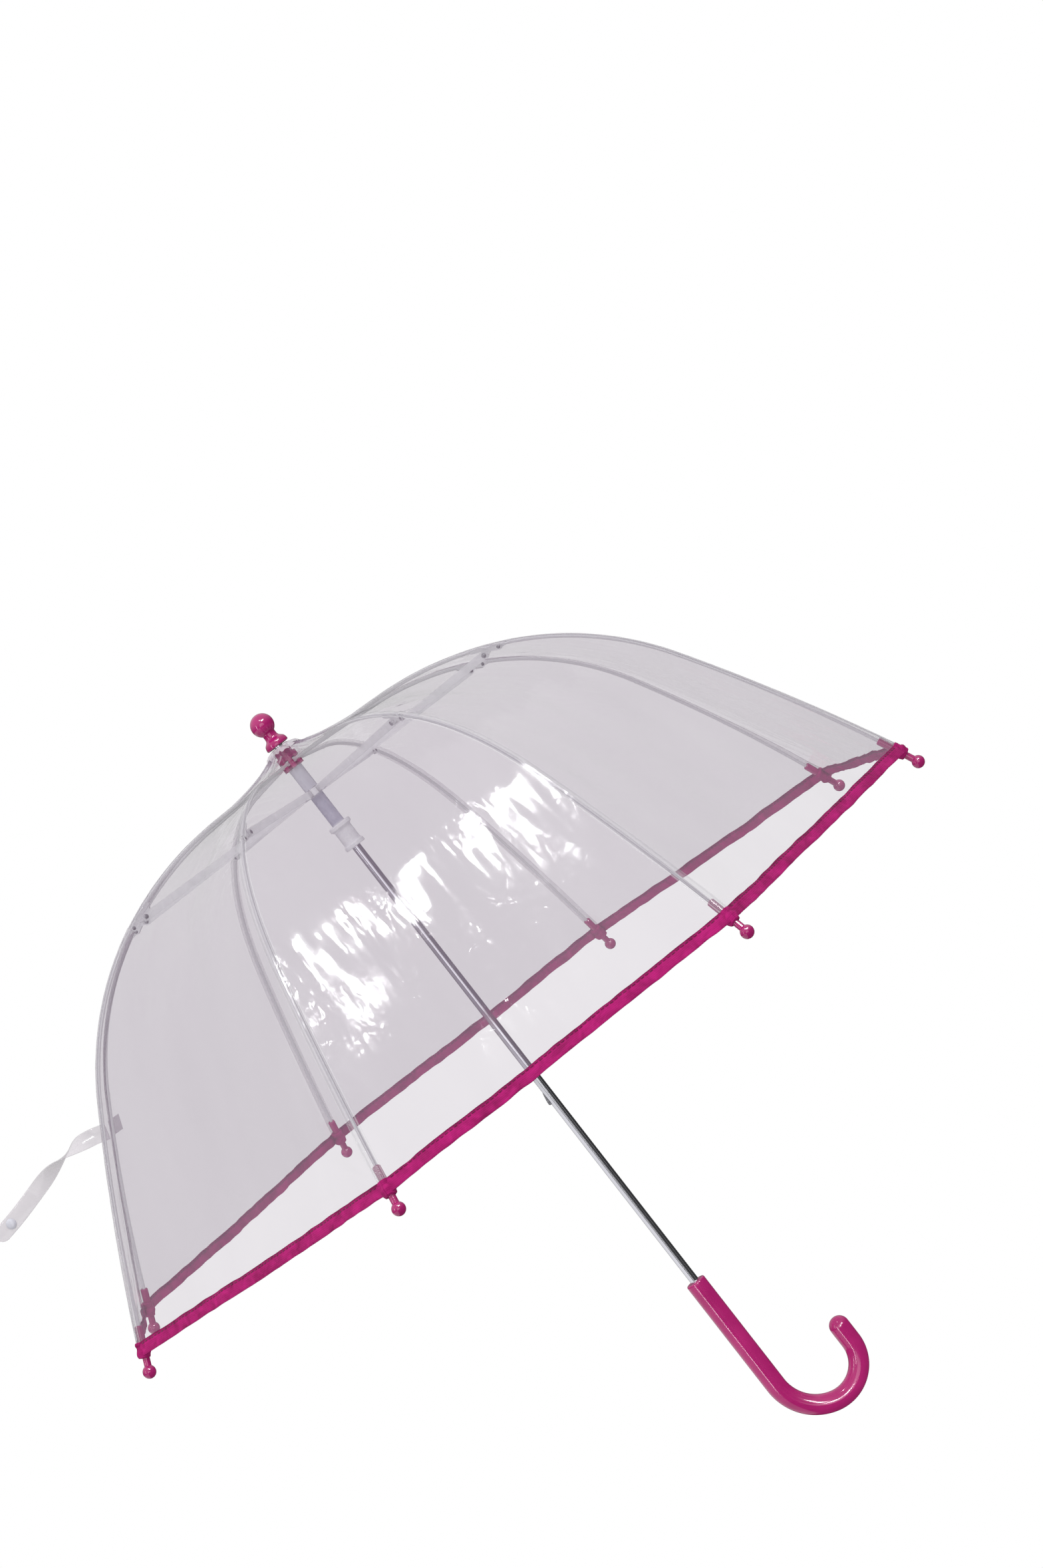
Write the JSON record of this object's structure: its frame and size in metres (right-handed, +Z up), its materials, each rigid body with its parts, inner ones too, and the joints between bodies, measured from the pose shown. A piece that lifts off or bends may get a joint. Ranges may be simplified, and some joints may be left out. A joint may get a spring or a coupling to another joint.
{
  "type": "umbrella",
  "caption": "Child-size dome umbrella with a clear panelled canopy, bound hem, ball tips, sliding runner with stretchers, chrome shaft and a hooked handle.",
  "frame": {"origin": "on the shaft axis at the middle of the straight grip of the handle", "axes": "+Z runs up the shaft to the ferrule, +X towards the open end of the handle hook, Y across the hook"},
  "size_m": [0.7299, 0.6894, 0.6697],
  "materials": {
    "pink_plastic": "glossy hot pink plastic",
    "chrome_steel": "polished",
    "spring_steel": "drawn",
    "white_plastic": "semi-gloss white",
    "clear_plastic": "frosted translucent",
    "clear_film": "clear soft vinyl film with welded seams and a pink woven binding at the hem",
    "fibreglass": "pale fibreglass rod"
  },
  "bodies": {
    "shaft": {"shaft_tube": "chrome_steel", "handle": "pink_plastic", "ferrule": "pink_plastic", "crown_washer": "clear_plastic", "top_notch": "pink_plastic", "notch_wire": "spring_steel", "stop_sleeve": "white_plastic"},
    "runner": {"runner": "white_plastic", "runner_wire": "spring_steel"},
    "top_catch": {"top_catch": "spring_steel"},
    "bottom_catch": {"bottom_catch": "spring_steel"},
    "strap": {"strap": "clear_plastic"},
    "rib_inner_1": {"rib_inner_1": "fibreglass"},
    "rib_outer_1": {"rib_outer_1": "fibreglass", "tip_1": "pink_plastic"},
    "stretcher_1": {"stretcher_1": "clear_plastic"},
    "rib_inner_2": {"rib_inner_2": "fibreglass"},
    "rib_outer_2": {"rib_outer_2": "fibreglass", "tip_2": "pink_plastic"},
    "stretcher_2": {"stretcher_2": "clear_plastic"},
    "rib_inner_3": {"rib_inner_3": "fibreglass"},
    "rib_outer_3": {"rib_outer_3": "fibreglass", "tip_3": "pink_plastic"},
    "stretcher_3": {"stretcher_3": "clear_plastic"},
    "rib_inner_4": {"rib_inner_4": "fibreglass"},
    "rib_outer_4": {"rib_outer_4": "fibreglass", "tip_4": "pink_plastic"},
    "stretcher_4": {"stretcher_4": "clear_plastic"},
    "rib_inner_5": {"rib_inner_5": "fibreglass"},
    "rib_outer_5": {"rib_outer_5": "fibreglass", "tip_5": "pink_plastic"},
    "stretcher_5": {"stretcher_5": "clear_plastic"},
    "rib_inner_6": {"rib_inner_6": "fibreglass"},
    "rib_outer_6": {"rib_outer_6": "fibreglass", "tip_6": "pink_plastic"},
    "stretcher_6": {"stretcher_6": "clear_plastic"},
    "rib_inner_7": {"rib_inner_7": "fibreglass"},
    "rib_outer_7": {"rib_outer_7": "fibreglass", "tip_7": "pink_plastic"},
    "stretcher_7": {"stretcher_7": "clear_plastic"},
    "rib_inner_8": {"rib_inner_8": "fibreglass"},
    "rib_outer_8": {"rib_outer_8": "fibreglass", "tip_8": "pink_plastic"},
    "stretcher_8": {"stretcher_8": "clear_plastic"},
    "panel_upper_1": {"panel_upper_1": "clear_film"},
    "panel_lower_1": {"panel_lower_1": "clear_film"},
    "panel_upper_2": {"panel_upper_2": "clear_film"},
    "panel_lower_2": {"panel_lower_2": "clear_film"},
    "panel_upper_3": {"panel_upper_3": "clear_film"},
    "panel_lower_3": {"panel_lower_3": "clear_film"},
    "panel_upper_4": {"panel_upper_4": "clear_film"},
    "panel_lower_4": {"panel_lower_4": "clear_film"},
    "panel_upper_5": {"panel_upper_5": "clear_film"},
    "panel_lower_5": {"panel_lower_5": "clear_film"},
    "panel_upper_6": {"panel_upper_6": "clear_film"},
    "panel_lower_6": {"panel_lower_6": "clear_film"},
    "panel_upper_7": {"panel_upper_7": "clear_film"},
    "panel_lower_7": {"panel_lower_7": "clear_film"},
    "panel_upper_8": {"panel_upper_8": "clear_film"},
    "panel_lower_8": {"panel_lower_8": "clear_film"}
  },
  "joints": [
    {"name": "runner_slide", "type": "slide", "parent": "shaft", "child": "runner", "axis": [0, 0, -1], "range_m": [0, 0.2914]},
    {"name": "top_catch_press", "type": "slide", "parent": "shaft", "child": "top_catch", "axis": [1, 0, 0], "range_m": [0, 0.0018], "stiffness_N_per_m": 400},
    {"name": "bottom_catch_press", "type": "slide", "parent": "shaft", "child": "bottom_catch", "axis": [1, 0, 0], "range_m": [0, 0.0018], "stiffness_N_per_m": 400},
    {"name": "rib_hinge_1", "type": "hinge", "parent": "shaft", "child": "rib_inner_1", "pos_m": [0.00647, -0.00268, 0.536], "axis": [0.3827, 0.9239, 0], "range_deg": [0, 76.12]},
    {"name": "rib_joint_1", "type": "hinge", "parent": "rib_inner_1", "child": "rib_outer_1", "pos_m": [0.16475, -0.06824, 0.50823], "axis": [0.3827, 0.9239, 0], "range_deg": [-37.28, 0]},
    {"name": "stretcher_hinge_1", "type": "hinge", "parent": "runner", "child": "stretcher_1", "pos_m": [0.00665, -0.00276, 0.5083], "axis": [-0.3827, -0.9239, 0], "range_deg": [0, 85.02]},
    {"name": "rib_hinge_2", "type": "hinge", "parent": "shaft", "child": "rib_inner_2", "pos_m": [0.00647, 0.00268, 0.536], "axis": [-0.3827, 0.9239, 0], "range_deg": [0, 76.12]},
    {"name": "rib_joint_2", "type": "hinge", "parent": "rib_inner_2", "child": "rib_outer_2", "pos_m": [0.16475, 0.06824, 0.50823], "axis": [-0.3827, 0.9239, 0], "range_deg": [-37.28, 0]},
    {"name": "stretcher_hinge_2", "type": "hinge", "parent": "runner", "child": "stretcher_2", "pos_m": [0.00665, 0.00276, 0.5083], "axis": [0.3827, -0.9239, 0], "range_deg": [0, 85.02]},
    {"name": "rib_hinge_3", "type": "hinge", "parent": "shaft", "child": "rib_inner_3", "pos_m": [0.00268, 0.00647, 0.536], "axis": [-0.9239, 0.3827, 0], "range_deg": [0, 76.12]},
    {"name": "rib_joint_3", "type": "hinge", "parent": "rib_inner_3", "child": "rib_outer_3", "pos_m": [0.06824, 0.16475, 0.50823], "axis": [-0.9239, 0.3827, 0], "range_deg": [-37.28, 0]},
    {"name": "stretcher_hinge_3", "type": "hinge", "parent": "runner", "child": "stretcher_3", "pos_m": [0.00276, 0.00665, 0.5083], "axis": [0.9239, -0.3827, 0], "range_deg": [0, 85.02]},
    {"name": "rib_hinge_4", "type": "hinge", "parent": "shaft", "child": "rib_inner_4", "pos_m": [-0.00268, 0.00647, 0.536], "axis": [-0.9239, -0.3827, 0], "range_deg": [0, 76.12]},
    {"name": "rib_joint_4", "type": "hinge", "parent": "rib_inner_4", "child": "rib_outer_4", "pos_m": [-0.06824, 0.16475, 0.50823], "axis": [-0.9239, -0.3827, 0], "range_deg": [-37.28, 0]},
    {"name": "stretcher_hinge_4", "type": "hinge", "parent": "runner", "child": "stretcher_4", "pos_m": [-0.00276, 0.00665, 0.5083], "axis": [0.9239, 0.3827, 0], "range_deg": [0, 85.02]},
    {"name": "rib_hinge_5", "type": "hinge", "parent": "shaft", "child": "rib_inner_5", "pos_m": [-0.00647, 0.00268, 0.536], "axis": [-0.3827, -0.9239, 0], "range_deg": [0, 76.12]},
    {"name": "rib_joint_5", "type": "hinge", "parent": "rib_inner_5", "child": "rib_outer_5", "pos_m": [-0.16475, 0.06824, 0.50823], "axis": [-0.3827, -0.9239, 0], "range_deg": [-37.28, 0]},
    {"name": "stretcher_hinge_5", "type": "hinge", "parent": "runner", "child": "stretcher_5", "pos_m": [-0.00665, 0.00276, 0.5083], "axis": [0.3827, 0.9239, 0], "range_deg": [0, 85.02]},
    {"name": "rib_hinge_6", "type": "hinge", "parent": "shaft", "child": "rib_inner_6", "pos_m": [-0.00647, -0.00268, 0.536], "axis": [0.3827, -0.9239, 0], "range_deg": [0, 76.12]},
    {"name": "rib_joint_6", "type": "hinge", "parent": "rib_inner_6", "child": "rib_outer_6", "pos_m": [-0.16475, -0.06824, 0.50823], "axis": [0.3827, -0.9239, 0], "range_deg": [-37.28, 0]},
    {"name": "stretcher_hinge_6", "type": "hinge", "parent": "runner", "child": "stretcher_6", "pos_m": [-0.00665, -0.00276, 0.5083], "axis": [-0.3827, 0.9239, 0], "range_deg": [0, 85.02]},
    {"name": "rib_hinge_7", "type": "hinge", "parent": "shaft", "child": "rib_inner_7", "pos_m": [-0.00268, -0.00647, 0.536], "axis": [0.9239, -0.3827, 0], "range_deg": [0, 76.12]},
    {"name": "rib_joint_7", "type": "hinge", "parent": "rib_inner_7", "child": "rib_outer_7", "pos_m": [-0.06824, -0.16475, 0.50823], "axis": [0.9239, -0.3827, 0], "range_deg": [-37.28, 0]},
    {"name": "stretcher_hinge_7", "type": "hinge", "parent": "runner", "child": "stretcher_7", "pos_m": [-0.00276, -0.00665, 0.5083], "axis": [-0.9239, 0.3827, 0], "range_deg": [0, 85.02]},
    {"name": "rib_hinge_8", "type": "hinge", "parent": "shaft", "child": "rib_inner_8", "pos_m": [0.00268, -0.00647, 0.536], "axis": [0.9239, 0.3827, 0], "range_deg": [0, 76.12]},
    {"name": "rib_joint_8", "type": "hinge", "parent": "rib_inner_8", "child": "rib_outer_8", "pos_m": [0.06824, -0.16475, 0.50823], "axis": [0.9239, 0.3827, 0], "range_deg": [-37.28, 0]},
    {"name": "stretcher_hinge_8", "type": "hinge", "parent": "runner", "child": "stretcher_8", "pos_m": [0.00276, -0.00665, 0.5083], "axis": [-0.9239, -0.3827, 0], "range_deg": [0, 85.02]},
    {"name": "panel_fold_1", "type": "hinge", "parent": "shaft", "child": "panel_upper_1", "pos_m": [0.005, 0, 0.544], "axis": [0, 1, 0], "range_deg": [0, 72.32], "deforming": ["panel_upper_1"]},
    {"name": "panel_bend_1", "type": "hinge", "parent": "panel_upper_1", "child": "panel_lower_1", "pos_m": [0.16606, 0, 0.51142], "axis": [0, 1, 0], "range_deg": [-35.52, 0], "deforming": ["panel_lower_1"]},
    {"name": "panel_fold_2", "type": "hinge", "parent": "shaft", "child": "panel_upper_2", "pos_m": [0.00354, 0.00354, 0.544], "axis": [-0.7071, 0.7071, 0], "range_deg": [0, 72.32], "deforming": ["panel_upper_2"]},
    {"name": "panel_bend_2", "type": "hinge", "parent": "panel_upper_2", "child": "panel_lower_2", "pos_m": [0.11742, 0.11742, 0.51142], "axis": [-0.7071, 0.7071, 0], "range_deg": [-35.52, 0], "deforming": ["panel_lower_2"]},
    {"name": "panel_fold_3", "type": "hinge", "parent": "shaft", "child": "panel_upper_3", "pos_m": [0, 0.005, 0.544], "axis": [-1, 0, 0], "range_deg": [0, 72.32], "deforming": ["panel_upper_3"]},
    {"name": "panel_bend_3", "type": "hinge", "parent": "panel_upper_3", "child": "panel_lower_3", "pos_m": [0, 0.16606, 0.51142], "axis": [-1, 0, 0], "range_deg": [-35.52, 0], "deforming": ["panel_lower_3"]},
    {"name": "panel_fold_4", "type": "hinge", "parent": "shaft", "child": "panel_upper_4", "pos_m": [-0.00354, 0.00354, 0.544], "axis": [-0.7071, -0.7071, 0], "range_deg": [0, 72.32], "deforming": ["panel_upper_4"]},
    {"name": "panel_bend_4", "type": "hinge", "parent": "panel_upper_4", "child": "panel_lower_4", "pos_m": [-0.11742, 0.11742, 0.51142], "axis": [-0.7071, -0.7071, 0], "range_deg": [-35.52, 0], "deforming": ["panel_lower_4"]},
    {"name": "panel_fold_5", "type": "hinge", "parent": "shaft", "child": "panel_upper_5", "pos_m": [-0.005, 0, 0.544], "axis": [0, -1, 0], "range_deg": [0, 72.32], "deforming": ["panel_upper_5"]},
    {"name": "panel_bend_5", "type": "hinge", "parent": "panel_upper_5", "child": "panel_lower_5", "pos_m": [-0.16606, 0, 0.51142], "axis": [0, -1, 0], "range_deg": [-35.52, 0], "deforming": ["panel_lower_5"]},
    {"name": "panel_fold_6", "type": "hinge", "parent": "shaft", "child": "panel_upper_6", "pos_m": [-0.00354, -0.00354, 0.544], "axis": [0.7071, -0.7071, 0], "range_deg": [0, 72.32], "deforming": ["panel_upper_6"]},
    {"name": "panel_bend_6", "type": "hinge", "parent": "panel_upper_6", "child": "panel_lower_6", "pos_m": [-0.11742, -0.11742, 0.51142], "axis": [0.7071, -0.7071, 0], "range_deg": [-35.52, 0], "deforming": ["panel_lower_6"]},
    {"name": "panel_fold_7", "type": "hinge", "parent": "shaft", "child": "panel_upper_7", "pos_m": [0, -0.005, 0.544], "axis": [1, 0, 0], "range_deg": [0, 72.32], "deforming": ["panel_upper_7"]},
    {"name": "panel_bend_7", "type": "hinge", "parent": "panel_upper_7", "child": "panel_lower_7", "pos_m": [0, -0.16606, 0.51142], "axis": [1, 0, 0], "range_deg": [-35.52, 0], "deforming": ["panel_lower_7"]},
    {"name": "panel_fold_8", "type": "hinge", "parent": "shaft", "child": "panel_upper_8", "pos_m": [0.00354, -0.00354, 0.544], "axis": [0.7071, 0.7071, 0], "range_deg": [0, 72.32], "deforming": ["panel_upper_8"]},
    {"name": "panel_bend_8", "type": "hinge", "parent": "panel_upper_8", "child": "panel_lower_8", "pos_m": [0.11742, -0.11742, 0.51142], "axis": [0.7071, 0.7071, 0], "range_deg": [-35.52, 0], "deforming": ["panel_lower_8"]},
    {"name": "strap_swing", "type": "hinge", "parent": "rib_outer_5", "child": "strap", "pos_m": [-0.27293, 0.11305, 0.403], "axis": [0, 0, 1], "range_deg": [-60, 0]}
  ],
  "couplings": [
    {"joint": "rib_hinge_1", "follows": "runner_slide", "rad_per_m": 4.558},
    {"joint": "rib_joint_1", "follows": "runner_slide", "rad_per_m": -2.2317},
    {"joint": "stretcher_hinge_1", "follows": "runner_slide", "rad_per_m": 5.091},
    {"joint": "rib_hinge_2", "follows": "runner_slide", "rad_per_m": 4.558},
    {"joint": "rib_joint_2", "follows": "runner_slide", "rad_per_m": -2.2317},
    {"joint": "stretcher_hinge_2", "follows": "runner_slide", "rad_per_m": 5.091},
    {"joint": "rib_hinge_3", "follows": "runner_slide", "rad_per_m": 4.558},
    {"joint": "rib_joint_3", "follows": "runner_slide", "rad_per_m": -2.2317},
    {"joint": "stretcher_hinge_3", "follows": "runner_slide", "rad_per_m": 5.091},
    {"joint": "rib_hinge_4", "follows": "runner_slide", "rad_per_m": 4.558},
    {"joint": "rib_joint_4", "follows": "runner_slide", "rad_per_m": -2.2317},
    {"joint": "stretcher_hinge_4", "follows": "runner_slide", "rad_per_m": 5.091},
    {"joint": "rib_hinge_5", "follows": "runner_slide", "rad_per_m": 4.558},
    {"joint": "rib_joint_5", "follows": "runner_slide", "rad_per_m": -2.2317},
    {"joint": "stretcher_hinge_5", "follows": "runner_slide", "rad_per_m": 5.091},
    {"joint": "rib_hinge_6", "follows": "runner_slide", "rad_per_m": 4.558},
    {"joint": "rib_joint_6", "follows": "runner_slide", "rad_per_m": -2.2317},
    {"joint": "stretcher_hinge_6", "follows": "runner_slide", "rad_per_m": 5.091},
    {"joint": "rib_hinge_7", "follows": "runner_slide", "rad_per_m": 4.558},
    {"joint": "rib_joint_7", "follows": "runner_slide", "rad_per_m": -2.2317},
    {"joint": "stretcher_hinge_7", "follows": "runner_slide", "rad_per_m": 5.091},
    {"joint": "rib_hinge_8", "follows": "runner_slide", "rad_per_m": 4.558},
    {"joint": "rib_joint_8", "follows": "runner_slide", "rad_per_m": -2.2317},
    {"joint": "stretcher_hinge_8", "follows": "runner_slide", "rad_per_m": 5.091},
    {"joint": "panel_fold_1", "follows": "runner_slide", "rad_per_m": 4.3304},
    {"joint": "panel_bend_1", "follows": "runner_slide", "rad_per_m": -2.1263},
    {"joint": "panel_fold_2", "follows": "runner_slide", "rad_per_m": 4.3304},
    {"joint": "panel_bend_2", "follows": "runner_slide", "rad_per_m": -2.1263},
    {"joint": "panel_fold_3", "follows": "runner_slide", "rad_per_m": 4.3304},
    {"joint": "panel_bend_3", "follows": "runner_slide", "rad_per_m": -2.1263},
    {"joint": "panel_fold_4", "follows": "runner_slide", "rad_per_m": 4.3304},
    {"joint": "panel_bend_4", "follows": "runner_slide", "rad_per_m": -2.1263},
    {"joint": "panel_fold_5", "follows": "runner_slide", "rad_per_m": 4.3304},
    {"joint": "panel_bend_5", "follows": "runner_slide", "rad_per_m": -2.1263},
    {"joint": "panel_fold_6", "follows": "runner_slide", "rad_per_m": 4.3304},
    {"joint": "panel_bend_6", "follows": "runner_slide", "rad_per_m": -2.1263},
    {"joint": "panel_fold_7", "follows": "runner_slide", "rad_per_m": 4.3304},
    {"joint": "panel_bend_7", "follows": "runner_slide", "rad_per_m": -2.1263},
    {"joint": "panel_fold_8", "follows": "runner_slide", "rad_per_m": 4.3304},
    {"joint": "panel_bend_8", "follows": "runner_slide", "rad_per_m": -2.1263}
  ]
}
